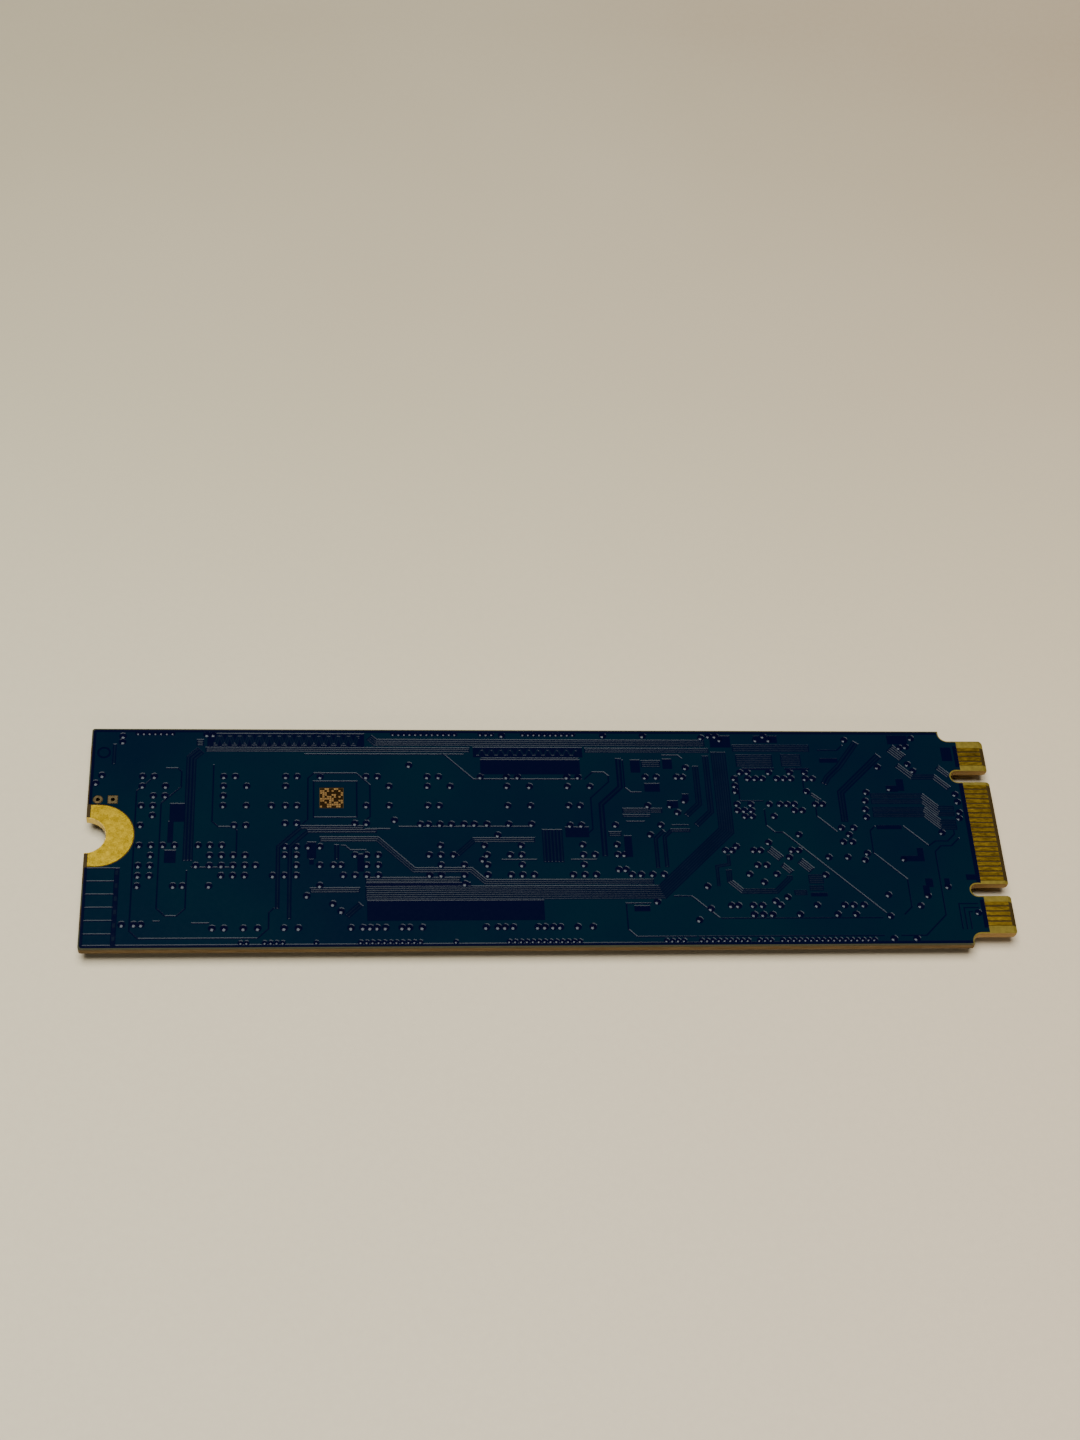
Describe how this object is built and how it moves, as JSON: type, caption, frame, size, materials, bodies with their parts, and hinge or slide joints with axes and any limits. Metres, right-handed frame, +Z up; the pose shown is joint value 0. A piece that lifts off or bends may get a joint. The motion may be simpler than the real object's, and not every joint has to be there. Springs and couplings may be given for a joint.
{
  "type": "gumstick solid state drive",
  "caption": "Narrow plug-in storage card with a keyed card edge, a half-round screw notch, and flash packages on its underside.",
  "frame": {"origin": "centre of the footprint, on the surface that the flash packages rest on", "axes": "+X along the card towards the card edge, +Z up out of the solder side"},
  "size_m": [0.08, 0.022, 0.002],
  "materials": {
    "laminate": "glass-filled epoxy, sawn edge",
    "solder_mask": "dark blue solder mask, satin gloss",
    "masked_copper": "solder mask over copper",
    "gold": "gold over nickel, fine grain",
    "hole_plating": "plated copper",
    "data_copper": "bare etched copper",
    "package_mould": "black moulding compound",
    "solder": "tin solder",
    "tinned_metal": "matt tin",
    "ferrite": "pressed metal powder",
    "capacitor_ceramic": "fired ceramic",
    "resistor_ceramic": "glazed ceramic",
    "crystal_ceramic": "fired ceramic",
    "crystal_lid_metal": "brushed lid"
  },
  "bodies": {
    "root": {"circuit_board": "laminate", "solder_mask_back": "solder_mask", "solder_mask_front": "solder_mask", "gold_fingers_back": "gold", "gold_fingers_front": "gold", "screw_ring_back": "gold", "screw_ring_front": "gold", "castellation_plating": "gold", "through_hole_pads": "hole_plating", "data_patch": "data_copper", "fiducials": "hole_plating", "layer_marks": "masked_copper", "far_bus_tracks": "masked_copper", "memory_bus_tracks": "masked_copper", "loop_tracks": "masked_copper", "fan_out_tracks": "masked_copper", "controller_tracks": "masked_copper", "lane_tracks": "masked_copper", "flash_vias": "masked_copper", "controller_vias": "masked_copper", "edge_vias": "masked_copper", "flash_package_1": "package_mould", "flash_package_2": "package_mould", "flash_package_3": "package_mould", "flash_package_4": "package_mould", "flash_balls": "solder", "controller_package": "package_mould", "controller_balls": "solder", "memory_package": "package_mould", "memory_balls": "solder", "power_chip": "package_mould", "power_chip_pads": "tinned_metal", "inductor_cores": "ferrite", "inductor_terminals": "tinned_metal", "capacitor_bodies": "capacitor_ceramic", "capacitor_caps": "tinned_metal", "bulk_capacitor_bodies": "capacitor_ceramic", "bulk_capacitor_caps": "tinned_metal", "resistor_bodies": "resistor_ceramic", "resistor_caps": "tinned_metal", "crystal_base": "crystal_ceramic", "crystal_lid": "crystal_lid_metal", "regulator_bodies": "package_mould", "regulator_leads": "tinned_metal"}
  },
  "joints": []
}
